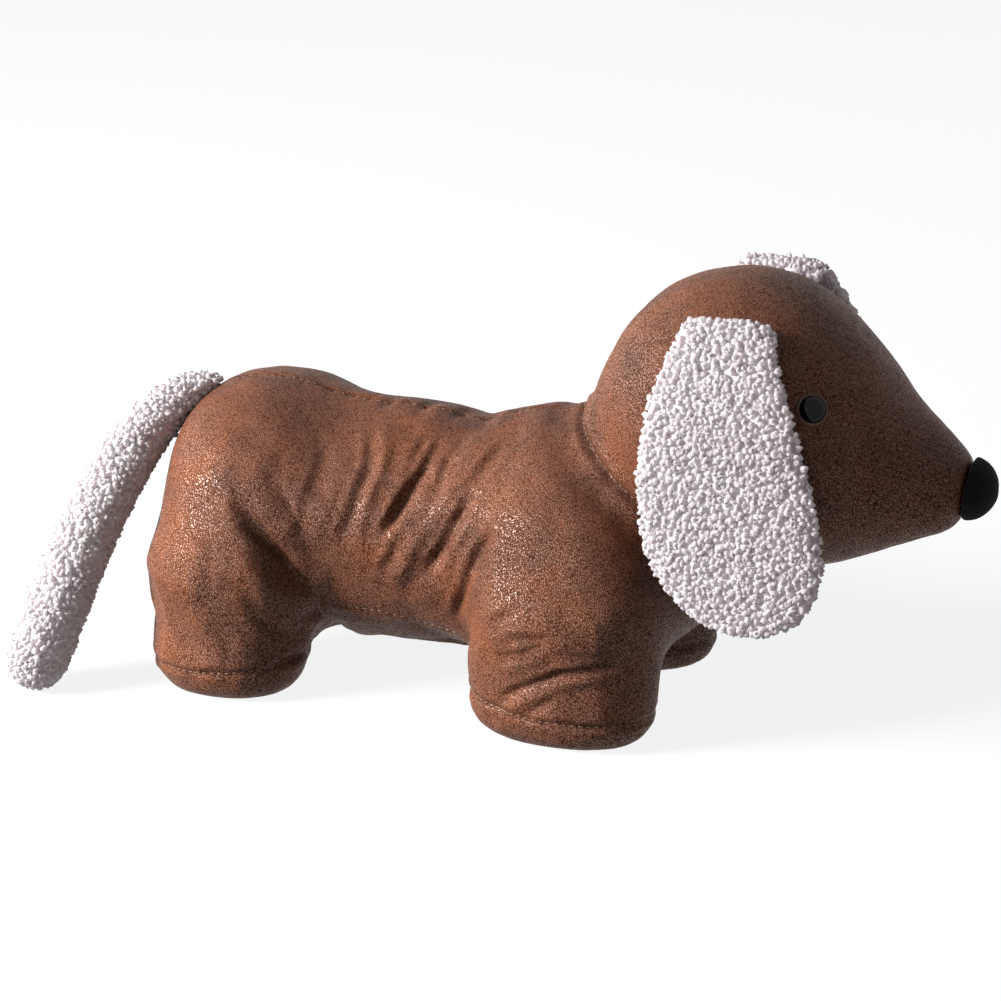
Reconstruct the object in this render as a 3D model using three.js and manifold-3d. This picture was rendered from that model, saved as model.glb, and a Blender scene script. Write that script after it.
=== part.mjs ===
// A weighted door stop in the form of a short-legged dog, in brown imitation leather.
// The trunk and the head are two stuffed bags that meet at the neck seam. Each foot is closed by a sole,
// and the ears, the tail, the nose and the button eyes are pieces of their own.
// Millimetres, +X towards the nose, +Y to the dog's left, +Z up from the floor. X is first measured from
// the middle of the hind feet. At the end the whole dog is moved so that the middle of its box is over the
// origin.
import * as THREE from "three";
import { mergeVertices } from "three/addons/utils/BufferGeometryUtils.js";
import Module from "manifold-3d";

const wasm = await Module();
wasm.setup();

// The clearances between pieces, and the spacing of the grids that the skins are drawn on.
const seamGap = 0.3;
const earClearance = 0.8;
const trunkGrid = 8.3;
const headGrid = 8;
const roundSteps = 18;

// How points are found on a form: how exactly, the step that measures its slope, the least slope that
// counts, how often a point is pulled, and what counts as nothing.
const precision = 0.03;
const slopeStep = 0.16;
const leastSlope = 0.1;
const pulls = 4;
const nothing = 1e-9;

// Trunk. The parts over the legs are set back or forward from the middles of the feet.
const legSpacing = 158;
const stance = 94;
const waist = { top: 124, bottom: 17.5, width: 100, inset: 16 };
const rump = { forward: 0, length: 73, width: 110, top: 127.8, bottom: 26, squareness: 2.7 };
const shoulder = { forward: -12, length: 104, width: 116, top: 122, bottom: 26, squareness: 2.2 };
const chest = { forward: 24, z: 70, length: 70, width: 88, height: 80 };
const neck = { radius: 45, rise: 1 };
const bodyFillet = 22;
const legFillet = 15;

// Folds in both flanks, where the legs and the back seam hold the cover. Each row is a start and an end,
// as shares of legSpacing and of waist.top, and the fold's depth.
const foldWidth = 9;
const folds = [
  [0.65, 1.0, 0.53, 0.74, 3.5],
  [0.78, 0.92, 0.64, 0.6, 4.5],
  [0.78, 0.66, 0.7, 0.36, 5],
  [0.1, 0.64, 0.26, 0.5, 3],
  [0.03, 0.42, 0.2, 0.27, 3.5],
  [0.93, 0.23, 1.19, 0.34, 3],
];

// Legs. A foot's length runs along X and its width along Y; a seam's tilt lifts its front edge.
const hindLeg = { length: 70, width: 58, thighTop: 104, thighWidth: 56, thighLength: 64 };
const frontLeg = { length: 84, width: 58, thighTop: 106, thighWidth: 58, thighLength: 73 };
const thighInset = 7.5;
const hindSeam = { z: 15, tilt: 4 };
const frontSeam = { z: 15, tilt: -3 };
const footRounding = 17;
const footSink = 4;
const footMargin = 3;

// Head. The skull is placed from the middle of the front feet, the rest from the middle of the skull.
const skull = { forward: 66, z: 142.5, length: 122, width: 116, height: 117 };
const muzzle = { forward: 86, drop: 28, radius: 18.5, rootForward: 30, rootDrop: 18.5, rootRadius: 48.5 };
const headFillet = 16;
const neckSeam = { behind: 69, drop: 10, tilt: 52, depth: 4, width: 13 };

// Nose, measured from the end of the muzzle, and eyes and ears, measured from the middle of the skull.
const nose = { forward: 11, rise: 1.2, length: 13, width: 27, height: 28, tilt: 7 };
const eye = { forward: 39.5, rise: 14.5, radius: 7, dome: 4.4, rim: 1.4, seat: 1.2 };
const eyeStem = { radius: 2.4, length: 8 };
const ear = { forward: 3.5, rise: 46, drop: 126, width: 80, thickness: 9, lean: 14.5, leftLift: 6 };
const earFullness = 0.7;
const earLeanCurve = 1.5;

// Each row of the ear's outline is a share of its drop and a share of its width there.
const earOutline = [
  [0, 0.5],
  [0.06, 0.56],
  [0.14, 0.66],
  [0.25, 0.8],
  [0.38, 0.9],
  [0.5, 0.97],
  [0.62, 1],
  [0.74, 0.98],
  [0.84, 0.88],
  [0.92, 0.7],
  [0.97, 0.48],
  [1, 0.2],
];

// Tail. It leaves the rump backwards and to the dog's right, and comes down to its tip from a lean.
const tail = { behind: 22, radius: 15, rootRadius: 5, fillingOut: 0.18, reach: 60, swing: 89 };
const tailRoot = { out: 42, heading: 32, rise: 3 };
const tailHang = { length: 57, heading: 50, lean: 24 };
const tipLift = 1.5;
const tailRings = 16;
const tailSides = 12;
// The rings crowd towards the tip, and the last one is no smaller than a share of the full radius.
const tailCrowding = 1.4;
const tailTipShare = 0.1;

const rad = THREE.MathUtils.degToRad;
const farAway = 1000;

// Forms. Each is a function of a point that is about its distance outside the stuffed cover in millimetres.
function ellipsoid(centre, radii, squareness = 2) {
  const [cx, cy, cz] = centre;
  const [rx, ry, rz] = radii;
  const p = squareness;
  return (x, y, z) => {
    const [u, v, w] = [Math.abs(x - cx) / rx, Math.abs(y - cy) / ry, Math.abs(z - cz) / rz];
    const near = (u ** p + v ** p + w ** p) ** (1 / p);
    const slope = Math.hypot(u ** (p - 1) / rx, v ** (p - 1) / ry, w ** (p - 1) / rz);
    return slope < nothing ? -Math.min(rx, ry, rz) : (near ** (p - 1) * (near - 1)) / slope;
  };
}

// The hull of two balls. A widening other than 1 stretches it sideways.
function taper(start, end, startRadius, endRadius, widening = 1) {
  const a = new THREE.Vector3(...start);
  const axis = new THREE.Vector3(...end).sub(a);
  const length = axis.length();
  axis.normalize();
  const sine = (startRadius - endRadius) / length;
  const cosine = Math.sqrt(1 - sine * sine);
  const p = new THREE.Vector3();
  return (x, y, z) => {
    p.set(x, a.y + (y - a.y) / widening, z).sub(a);
    const along = p.dot(axis);
    const across = Math.sqrt(Math.max(p.lengthSq() - along * along, 0));
    const place = cosine * along - sine * across;
    if (place < 0) return Math.hypot(across, along) - startRadius;
    if (place > cosine * length) return Math.hypot(across, along - length) - endRadius;
    return cosine * across + sine * along - startRadius;
  };
}

// An upright column of oval section with a rounded foot at its lower end.
function column(centre, length, width, low, high, rounding) {
  const [cx, cy] = centre;
  const [rx, ry] = [length / 2, width / 2];
  return (x, y, z) => {
    const near = Math.hypot((x - cx) / rx, (y - cy) / ry);
    const slope = Math.hypot((x - cx) / rx ** 2, (y - cy) / ry ** 2);
    const side = (slope < nothing ? -Math.min(rx, ry) : (near * (near - 1)) / slope) + rounding;
    const end = Math.max(low - z, z - high) + rounding;
    return Math.hypot(Math.max(side, 0), Math.max(end, 0)) + Math.min(Math.max(side, end), 0) - rounding;
  };
}

// Joins forms with a fillet, as the stuffing rounds the hollow between two full parts.
function blend(fillet, ...forms) {
  return (x, y, z) =>
    forms
      .map((form) => form(x, y, z))
      .reduce((a, b) => {
        const share = Math.max(fillet - Math.abs(a - b), 0) / fillet;
        return Math.min(a, b) - (share * share * fillet) / 4;
      });
}

// How far from a start point, along a direction, a form's surface lies.
function reachOf(form, start, direction) {
  let [inside, outside] = [0, farAway];
  const p = new THREE.Vector3();
  while (outside - inside > precision) {
    const middle = (inside + outside) / 2;
    p.copy(direction).multiplyScalar(middle).add(start);
    if (form(p.x, p.y, p.z) < 0) inside = middle;
    else outside = middle;
  }
  return outside;
}

function slopeOf(form, p) {
  const step = slopeStep;
  return new THREE.Vector3(
    form(p.x + step, p.y, p.z) - form(p.x - step, p.y, p.z),
    form(p.x, p.y + step, p.z) - form(p.x, p.y - step, p.z),
    form(p.x, p.y, p.z + step) - form(p.x, p.y, p.z - step),
  ).divideScalar(2 * step);
}

// Draws the closed skin of a form: one vertex in each grid cell that the surface crosses, pulled onto
// the surface, and two triangles for each grid edge that it crosses.
function skin(form, box, grid) {
  const size = box.getSize(new THREE.Vector3());
  const [nx, ny, nz] = size.toArray().map((length) => Math.ceil(length / grid) + 1);
  const start = box.getCenter(new THREE.Vector3());
  start.sub(new THREE.Vector3(nx - 1, ny - 1, nz - 1).multiplyScalar(grid / 2));
  const index = (i, j, k) => i + nx * (j + ny * k);
  const value = new Float64Array(nx * ny * nz);
  for (let k = 0; k < nz; k++)
    for (let j = 0; j < ny; j++)
      for (let i = 0; i < nx; i++)
        value[index(i, j, k)] = form(start.x + i * grid, start.y + j * grid, start.z + k * grid);

  const vertexOf = new Map();
  const positions = [];
  const corners = [0, 1, 2, 3, 4, 5, 6, 7].map((c) => [c & 1, (c >> 1) & 1, (c >> 2) & 1]);
  const edges = corners.flatMap((a, i) =>
    corners.slice(i + 1).filter((b) => a.filter((v, n) => v !== b[n]).length === 1).map((b) => [a, b]),
  );
  function cellVertex(i, j, k) {
    const key = index(i, j, k);
    if (vertexOf.has(key)) return vertexOf.get(key);
    const sum = new THREE.Vector3();
    let crossings = 0;
    for (const [a, b] of edges) {
      const va = value[index(i + a[0], j + a[1], k + a[2])];
      const vb = value[index(i + b[0], j + b[1], k + b[2])];
      if (va < 0 === vb < 0) continue;
      const t = va / (va - vb);
      sum.add(new THREE.Vector3(...a).lerp(new THREE.Vector3(...b), t));
      crossings++;
    }
    const p = sum.divideScalar(crossings).add(new THREE.Vector3(i, j, k)).multiplyScalar(grid).add(start);
    pullOnto(form, p, grid);
    positions.push(p.x, p.y, p.z);
    vertexOf.set(key, positions.length / 3 - 1);
    return vertexOf.get(key);
  }

  const triangles = [];
  const point = (n) => new THREE.Vector3().fromArray(positions, 3 * n);
  function quad(a, b, c, d) {
    if (point(a).distanceTo(point(c)) < point(b).distanceTo(point(d))) triangles.push(a, b, c, a, c, d);
    else triangles.push(b, c, d, b, d, a);
  }
  for (let k = 1; k < nz - 1; k++)
    for (let j = 1; j < ny - 1; j++)
      for (let i = 1; i < nx - 1; i++) {
        const here = value[index(i, j, k)] < 0;
        const around = [
          [[1, 0, 0], [[0, -1, -1], [0, 0, -1], [0, 0, 0], [0, -1, 0]]],
          [[0, 1, 0], [[-1, 0, -1], [-1, 0, 0], [0, 0, 0], [0, 0, -1]]],
          [[0, 0, 1], [[-1, -1, 0], [0, -1, 0], [0, 0, 0], [-1, 0, 0]]],
        ];
        for (const [step, cells] of around) {
          const there = value[index(i + step[0], j + step[1], k + step[2])] < 0;
          if (here === there) continue;
          const ring = cells.map((c) => cellVertex(i + c[0], j + c[1], k + c[2]));
          quad(...(here ? ring : ring.reverse()));
        }
      }
  const geometry = new THREE.BufferGeometry();
  geometry.setAttribute("position", new THREE.Float32BufferAttribute(positions, 3));
  geometry.setIndex(triangles);
  return geometry;
}

// Moves a point along the form's slope until it lies on the surface, by less than half a grid step.
function pullOnto(form, p, grid) {
  const start = p.clone();
  for (let n = 0; n < pulls; n++) {
    const slope = slopeOf(form, p);
    p.addScaledVector(slope, -form(p.x, p.y, p.z) / Math.max(slope.lengthSq(), leastSlope));
  }
  p.sub(start).clampLength(0, grid / 2).add(start);
}

// Skins rings of equal count into one closed body. The first and last ring are closed to their middles.
function loft(rings) {
  const count = rings[0].length;
  const middle = (ring) => ring.reduce((sum, p) => sum.add(p), new THREE.Vector3()).divideScalar(count);
  const points = [...rings.flat(), middle(rings[0]), middle(rings.at(-1))];
  const [first, last] = [rings.length * count, rings.length * count + 1];
  const triangles = [];
  for (let n = 0; n < count; n++) {
    const next = (n + 1) % count;
    triangles.push(first, next, n);
    for (let r = 0; r < rings.length - 1; r++) {
      const [a, b, c, d] = [r * count + n, r * count + next, (r + 1) * count + n, (r + 1) * count + next];
      triangles.push(a, b, d, a, d, c);
    }
    triangles.push(last, (rings.length - 1) * count + n, (rings.length - 1) * count + next);
  }
  const geometry = new THREE.BufferGeometry().setFromPoints(points);
  geometry.setIndex(triangles);
  return geometry;
}

// A closed oval of points round a centre. A fullness under 1 fills out its corners, as in a flat pad.
function oval(centre, along, across, count, fullness = 1) {
  const shaped = (v) => Math.sign(v) * Math.abs(v) ** fullness;
  return Array.from({ length: count }, (_, n) => {
    const turn = (2 * Math.PI * n) / count;
    return centre
      .clone()
      .addScaledVector(along, shaped(Math.cos(turn)))
      .addScaledVector(across, shaped(Math.sin(turn)));
  });
}

// A turned piece: rings of the profile's radii at the profile's heights along an axis.
function turned(profile, origin, axis) {
  const along = new THREE.Vector3(0, 0, 1).cross(axis).normalize();
  const across = axis.clone().cross(along);
  return loft(
    profile.map(([radius, height]) =>
      oval(
        origin.clone().addScaledVector(axis, height),
        along.clone().multiplyScalar(radius),
        across.clone().multiplyScalar(radius),
        roundSteps,
      ),
    ),
  );
}

// Solids, for cutting and joining.
function solid(geometry) {
  const bare = geometry.clone();
  for (const name of ["normal", "uv"]) bare.deleteAttribute(name);
  const merged = mergeVertices(bare, 1e-4);
  return new wasm.Manifold(
    new wasm.Mesh({
      numProp: 3,
      vertProperties: new Float32Array(merged.attributes.position.array),
      triVerts: new Uint32Array(merged.index.array),
    }),
  );
}

// The same skin moved out by a clearance, for cutting what lies against it.
function swollen(geometry, by) {
  const grownSkin = geometry.clone();
  grownSkin.computeVertexNormals();
  const { position, normal } = grownSkin.attributes;
  for (let n = 0; n < position.count; n++)
    position.setXYZ(
      n,
      position.getX(n) + by * normal.getX(n),
      position.getY(n) + by * normal.getY(n),
      position.getZ(n) + by * normal.getZ(n),
    );
  return solid(grownSkin);
}

function geometryOf(body) {
  const { vertProperties, triVerts } = body.getMesh();
  const geometry = new THREE.BufferGeometry();
  geometry.setAttribute("position", new THREE.BufferAttribute(new Float32Array(vertProperties), 3));
  geometry.setIndex(new THREE.BufferAttribute(new Uint32Array(triVerts), 1));
  geometry.computeVertexNormals();
  return geometry;
}

// A box far larger than the dog with one face through a point, on the side that a normal points to.
function halfSpace(point, normal) {
  const box = new THREE.BoxGeometry(farAway, farAway, farAway).translate(0, 0, farAway / 2);
  const turn = new THREE.Quaternion();
  turn.setFromUnitVectors(new THREE.Vector3(0, 0, 1), normal.clone().normalize());
  return solid(box.applyQuaternion(turn).translate(point.x, point.y, point.z));
}

// The trunk's form.
const legs = [
  { name: "hind", x: 0, ...hindLeg, seam: hindSeam },
  { name: "front", x: legSpacing, ...frontLeg, seam: frontSeam },
];
const sides = [
  { name: "right", sign: -1, earLift: 0 },
  { name: "left", sign: 1, earLift: ear.leftLift },
];

const middleOf = (span) => (span.top + span.bottom) / 2;
const halfHeight = (span) => (span.top - span.bottom) / 2;
const barrel = taper(
  [waist.inset, 0, middleOf(waist)],
  [legSpacing - waist.inset, 0, middleOf(waist)],
  halfHeight(waist),
  halfHeight(waist),
  waist.width / 2 / halfHeight(waist),
);

// A full part of the trunk, over a pair of legs.
const fullPart = (leg, part) =>
  ellipsoid(
    [leg.x + part.forward, 0, middleOf(part)],
    [part.length / 2, part.width / 2, halfHeight(part)],
    part.squareness,
  );
const chestForm = ellipsoid(
  [legSpacing + chest.forward, 0, chest.z],
  [chest.length / 2, chest.width / 2, chest.height / 2],
);
const skullMiddle = new THREE.Vector3(legSpacing + skull.forward, 0, skull.z);
const neckForm = taper(
  [legSpacing + shoulder.forward, 0, middleOf(shoulder) + neck.rise],
  skullMiddle.toArray(),
  neck.radius,
  neck.radius,
);

function legForm(leg, side) {
  const y = (side.sign * stance) / 2;
  const foot = column([leg.x, y], leg.length, leg.width, -footSink, middleOf(waist), footRounding);
  const thigh = ellipsoid(
    [leg.x, y - side.sign * thighInset, leg.thighTop / 2],
    [leg.thighLength / 2, leg.thighWidth / 2, leg.thighTop / 2],
  );
  return blend(legFillet, thigh, foot);
}

const bodyForm = blend(
  legFillet,
  blend(bodyFillet, barrel, fullPart(legs[0], rump), fullPart(legs[1], shoulder), chestForm),
  neckForm,
  ...legs.flatMap((leg) => sides.map((side) => legForm(leg, side))),
);

// How deep the folds press the cover in, at a point that is seen from the side.
const foldLines = folds.map(([x0, z0, x1, z1, depth]) => ({
  line: new THREE.Line3(
    new THREE.Vector3(x0 * legSpacing, 0, z0 * waist.top),
    new THREE.Vector3(x1 * legSpacing, 0, z1 * waist.top),
  ),
  depth,
}));
function foldDepth(x, z) {
  const point = new THREE.Vector3(x, 0, z);
  const nearest = new THREE.Vector3();
  return foldLines.reduce((sum, { line, depth }) => {
    const distance = line.closestPointToPoint(point, true, nearest).distanceTo(point);
    return sum + depth * Math.exp(-((distance / foldWidth) ** 2));
  }, 0);
}

// Presses the folds into a finished skin, along its own slope.
function creased(geometry) {
  geometry.computeVertexNormals();
  const { position, normal } = geometry.attributes;
  const point = new THREE.Vector3();
  const outward = new THREE.Vector3();
  for (let n = 0; n < position.count; n++) {
    point.fromBufferAttribute(position, n);
    outward.fromBufferAttribute(normal, n);
    point.addScaledVector(outward, -foldDepth(point.x, point.z));
    position.setXYZ(n, point.x, point.y, point.z);
  }
  return geometry;
}

// The head's form: a round skull that runs out into the muzzle.
const fromSkull = (forward, rise) => skullMiddle.clone().add(new THREE.Vector3(forward, 0, rise));
const muzzleEnd = fromSkull(muzzle.forward, -muzzle.drop);
const faceForm = blend(
  headFillet,
  ellipsoid(skullMiddle.toArray(), [skull.length / 2, skull.width / 2, skull.height / 2]),
  taper(
    fromSkull(muzzle.rootForward, -muzzle.rootDrop).toArray(),
    muzzleEnd.toArray(),
    muzzle.rootRadius,
    muzzle.radius,
  ),
);

// The neck seam lies in one plane, and its stitches draw the cover in along it.
function pointing(heading, rise) {
  const level = new THREE.Vector3(Math.cos(rad(heading)), Math.sin(rad(heading)), 0);
  return level.multiplyScalar(Math.cos(rad(rise))).setZ(Math.sin(rad(rise)));
}
const neckAxis = pointing(0, neckSeam.tilt);
const neckPoint = fromSkull(-neckSeam.behind, -neckSeam.drop);
const pastNeck = (x, z) => (x - neckPoint.x) * neckAxis.x + (z - neckPoint.z) * neckAxis.z;
const joined = blend(legFillet, bodyForm, faceForm);
function drawnIn(x, y, z) {
  return joined(x, y, z) + neckSeam.depth * Math.exp(-((pastNeck(x, z) / neckSeam.width) ** 2));
}

// Each skin runs on past the seam by two grid steps, and the plane then cuts it.
const trunkForm = (x, y, z) => Math.max(drawnIn(x, y, z), pastNeck(x, z) - 2 * trunkGrid);
const headForm = (x, y, z) => Math.max(drawnIn(x, y, z), -pastNeck(x, z) - 2 * headGrid);
const around = new THREE.Box3(
  new THREE.Vector3(-rump.length, -stance, -2 * trunkGrid),
  new THREE.Vector3(muzzleEnd.x + 2 * muzzle.radius + 2 * headGrid, stance, skull.z + skull.height),
);
const trunkSkin = creased(skin(trunkForm, around, trunkGrid));
const headSkin = skin(headForm, around, headGrid);
const nearTrunk = swollen(trunkSkin, seamGap);
const nearHead = swollen(headSkin, seamGap);

// The two sides of a seam's plane, each kept clear of it by half the gap.
const beyond = (point, axis) => halfSpace(point.clone().addScaledVector(axis, -seamGap / 2), axis);
const behind = (point, axis) => beyond(point, axis.clone().negate());

// Soles: what lies under the seam of each foot, within an oval round the foot.
function underFoot(leg, side, margin) {
  const column = new THREE.CylinderGeometry(1, 1, farAway, roundSteps).rotateX(Math.PI / 2);
  column.scale(leg.length / 2 + margin, leg.width / 2 + margin, 1);
  return solid(column.translate(leg.x, (side.sign * stance) / 2, 0));
}
const stuffed = solid(trunkSkin).subtract(beyond(neckPoint, neckAxis));
const floor = halfSpace(new THREE.Vector3(), new THREE.Vector3(0, 0, -1));
const feet = legs.flatMap((leg) =>
  sides.map((side) => ({
    name: `sole_${leg.name}_${side.name}`,
    hollow: underFoot(leg, side, footMargin),
    filling: underFoot(leg, side, footMargin - seamGap),
    seamPoint: new THREE.Vector3(leg.x, 0, leg.seam.z),
    seamAxis: pointing(180, 90 - leg.seam.tilt),
  })),
);
const soles = feet.map(({ name, filling, seamPoint, seamAxis }) => ({
  name,
  body: stuffed.intersect(filling).subtract(beyond(seamPoint, seamAxis)).subtract(floor),
}));
const trunk = feet.reduce(
  (body, { hollow, seamPoint, seamAxis }) => body.subtract(behind(seamPoint, seamAxis).intersect(hollow)),
  stuffed,
);

// Nose: an oval felt cap over the cut end of the muzzle.
const noseAxis = pointing(0, -nose.tilt);
const nosePoint = muzzleEnd.clone().add(new THREE.Vector3(nose.forward, 0, nose.rise));
const cap = new THREE.SphereGeometry(1, roundSteps, roundSteps / 2);
cap.scale(nose.length, nose.width / 2, nose.height / 2).rotateY(rad(nose.tilt));
cap.translate(nosePoint.x, nosePoint.y, nosePoint.z);

// Eyes: domed buttons whose stems run into the head, and the sockets that they sit in.
const domeTurns = [0, 30, 60, 80];
const eyes = sides.map((side) => {
  const outward = new THREE.Vector3(0, side.sign, 0);
  const seat = fromSkull(eye.forward, eye.rise);
  seat.addScaledVector(outward, reachOf(headForm, seat, outward));
  const axis = slopeOf(headForm, seat).normalize();
  const edge = eye.rim / 2;
  const button = [
    [eyeStem.radius, -eye.seat - eyeStem.length],
    [eyeStem.radius, -eye.seat],
    [eye.radius, -eye.seat],
    [eye.radius, edge],
    ...domeTurns.map((turn) => [
      (eye.radius - eye.rim / 2) * Math.cos(rad(turn)),
      edge + (eye.dome - edge) * Math.sin(rad(turn)),
    ]),
  ];
  const socket = [
    [eyeStem.radius + seamGap, -eye.seat - eyeStem.length - seamGap],
    [eyeStem.radius + seamGap, -eye.seat - seamGap],
    [eye.radius + seamGap, -eye.seat - seamGap],
    [eye.radius + seamGap, eye.dome],
  ];
  return {
    name: `eye_${side.name}`,
    body: solid(turned(button, seat, axis)),
    socket: solid(turned(socket, seat, axis)),
  };
});

const head = [
  behind(neckPoint, neckAxis),
  beyond(nosePoint, noseAxis),
  ...eyes.map(({ socket }) => socket),
].reduce((body, cut) => body.subtract(cut), solid(headSkin));

// Ears: flat pads that are sewn in at the crown, drape over the cheek and hang down from there.
const ears = sides.map((side) => {
  const outward = new THREE.Vector3(0, side.sign, 0);
  const padForm = (x, y, z) => headForm(x, y, z) - ear.thickness / 2 - earClearance;
  const drop = ear.drop + side.earLift;
  let reach = 0;
  const stations = earOutline.map(([share, width]) => {
    const forward = ear.forward + ear.lean * share ** earLeanCurve;
    const middle = fromSkull(forward, ear.rise + side.earLift - share * drop);
    reach = Math.max(reach, reachOf(padForm, middle, outward));
    return { middle: middle.addScaledVector(outward, reach), halfWidth: (width * ear.width) / 2 };
  });
  const [root] = stations;
  const inward = slopeOf(headForm, root.middle).setX(0).normalize().negate();
  const sewnIn = root.middle.clone().addScaledVector(inward, ear.thickness);
  stations.unshift({ middle: sewnIn, halfWidth: root.halfWidth });
  const rings = stations.map(({ middle, halfWidth }, n) => {
    const before = stations[Math.max(n - 1, 0)].middle;
    const after = stations[Math.min(n + 1, stations.length - 1)].middle;
    const across = new THREE.Vector3(1, 0, 0);
    const through = after.clone().sub(before).cross(across).normalize();
    return oval(
      middle,
      across.multiplyScalar(halfWidth),
      through.multiplyScalar(ear.thickness / 2),
      roundSteps,
      earFullness,
    );
  });
  return { name: `ear_${side.name}`, body: solid(loft(rings)).subtract(nearHead).subtract(nearTrunk) };
});

// Tail: a tube that leaves the top of the rump, swings to the right and hangs to just above the floor.
const up = new THREE.Vector3(0, 0, 1);
const underTail = new THREE.Vector3(-tail.behind, 0, middleOf(rump));
const tailBase = underTail.clone().addScaledVector(up, reachOf(bodyForm, underTail, up));
const tailTip = new THREE.Vector3(-tail.behind - tail.reach, -tail.swing, tipLift);
const tailCurve = new THREE.CubicBezierCurve3(
  tailBase,
  tailBase.clone().addScaledVector(pointing(180 + tailRoot.heading, tailRoot.rise), tailRoot.out),
  tailTip.clone().addScaledVector(pointing(tailHang.heading, 90 - tailHang.lean), tailHang.length),
  tailTip,
);
const tailLength = tailCurve.getLength();
function tailRing(n) {
  const left = (1 - n / tailRings) ** tailCrowding;
  const filled = 1 - Math.exp((left - 1) / tail.fillingOut);
  const swell = tail.rootRadius + (tail.radius - tail.rootRadius) * filled;
  const fromTip = Math.min((left * tailLength) / tail.radius, 1);
  const radius = swell * Math.max(Math.sqrt(1 - (1 - fromTip) ** 2), tailTipShare);
  const tangent = tailCurve.getTangentAt(1 - left);
  const along = tangent.clone().cross(up).normalize();
  const across = tangent.clone().cross(along);
  return oval(
    tailCurve.getPointAt(1 - left),
    along.multiplyScalar(radius),
    across.multiplyScalar(radius),
    tailSides,
  );
}
const tailTube = solid(loft(Array.from({ length: tailRings + 1 }, (_, n) => tailRing(n))));

// Assembly: every piece is moved alike, so that the middle of the dog's box is over the origin.
const leather = new THREE.MeshStandardMaterial({ color: 0x6a4030, roughness: 0.55, metalness: 0 });
const boucle = new THREE.MeshStandardMaterial({ color: 0xe2dcdd, roughness: 0.95, metalness: 0 });
const felt = new THREE.MeshStandardMaterial({ color: 0x111113, roughness: 0.9, metalness: 0 });
const plastic = new THREE.MeshStandardMaterial({ color: 0x1a1614, roughness: 0.15, metalness: 0 });

const made = [
  { name: "trunk", body: trunk, material: leather },
  { name: "head", body: head, material: leather },
  ...soles.map((sole) => ({ ...sole, material: leather })),
  ...ears.map((pad) => ({ ...pad, material: boucle })),
  { name: "tail", body: tailTube.subtract(nearTrunk), material: boucle },
  { name: "nose", body: solid(cap).subtract(behind(nosePoint, noseAxis)), material: felt },
  ...eyes.map(({ name, body }) => ({ name, body, material: plastic })),
];

const dog = new THREE.Group();
const box = new THREE.Box3();
for (const { name, body, material } of made) {
  const mesh = new THREE.Mesh(geometryOf(body), material);
  mesh.name = name;
  dog.add(mesh);
  box.expandByObject(mesh);
}
const middle = box.getCenter(new THREE.Vector3());
for (const mesh of dog.children) mesh.geometry.translate(-middle.x, -middle.y, -box.min.z);

export default dog;
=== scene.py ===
"""Dresses the stuffed door stop: a leather-look cover on heavy stuffing, looped-pile ears and tail, a felt nose
and button eyes, on a pale floor in soft light."""

import math

import bmesh
import bpy
import numpy as np
from bpy.props import FloatProperty, FloatVectorProperty, IntProperty, PointerProperty
from mathutils import Matrix, Vector
from mathutils.bvhtree import BVHTree


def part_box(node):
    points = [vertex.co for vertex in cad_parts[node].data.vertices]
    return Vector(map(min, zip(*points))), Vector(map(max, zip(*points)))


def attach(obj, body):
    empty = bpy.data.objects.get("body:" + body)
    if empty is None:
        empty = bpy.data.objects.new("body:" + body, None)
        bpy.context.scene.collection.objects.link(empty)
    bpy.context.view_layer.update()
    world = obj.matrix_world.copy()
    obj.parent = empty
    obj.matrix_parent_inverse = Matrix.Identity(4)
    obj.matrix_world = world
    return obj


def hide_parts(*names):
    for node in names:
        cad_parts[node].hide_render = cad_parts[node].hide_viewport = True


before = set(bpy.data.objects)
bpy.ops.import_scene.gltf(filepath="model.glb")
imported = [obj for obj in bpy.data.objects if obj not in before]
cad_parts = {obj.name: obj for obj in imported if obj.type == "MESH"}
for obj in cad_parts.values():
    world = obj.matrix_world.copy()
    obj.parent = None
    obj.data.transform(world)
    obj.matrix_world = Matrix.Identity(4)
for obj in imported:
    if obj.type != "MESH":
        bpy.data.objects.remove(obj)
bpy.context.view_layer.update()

bl_info = {
    "name": "Stuffed Door Stop",
    "version": (1, 0, 0),
    "blender": (4, 5, 0),
    "location": "3D View > Sidebar > Door Stop",
    "description": "Sews, stuffs and lights a short-legged stuffed dog that holds a door open",
    "category": "Object",
}

MM = 0.001
COVER_NODES = ("trunk", "head", "sole_hind_right", "sole_hind_left", "sole_front_right", "sole_front_left")

# The dog's middle plane lies halfway between its eyes.
MIDDLE = (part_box("eye_left")[0].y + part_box("eye_right")[1].y) / 2

# The neck seam's plane: a point on it, its direction towards the head, and a point in the neck.
NECK_SEAM = (Vector((0.0346, MIDDLE, 0.1325)), Vector((math.cos(math.radians(52)), 0, math.sin(math.radians(52)))))
NECK_MIDDLE = Vector((0.073, MIDDLE, 0.1025))

# Each pair of legs: the middle of its feet, the half length and half width of a foot, and its sole seam's height
# and tilt.
STANCE = 94 * MM
LEGS = {
    "hind": {"x": -0.1204, "half_length": 0.042, "half_width": 0.034, "seam": 0.015, "tilt": 4.0},
    "front": {"x": 0.0376, "half_length": 0.047, "half_width": 0.034, "seam": 0.015, "tilt": -3.0},
}
SIDES = {"right": -1, "left": 1}

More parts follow.
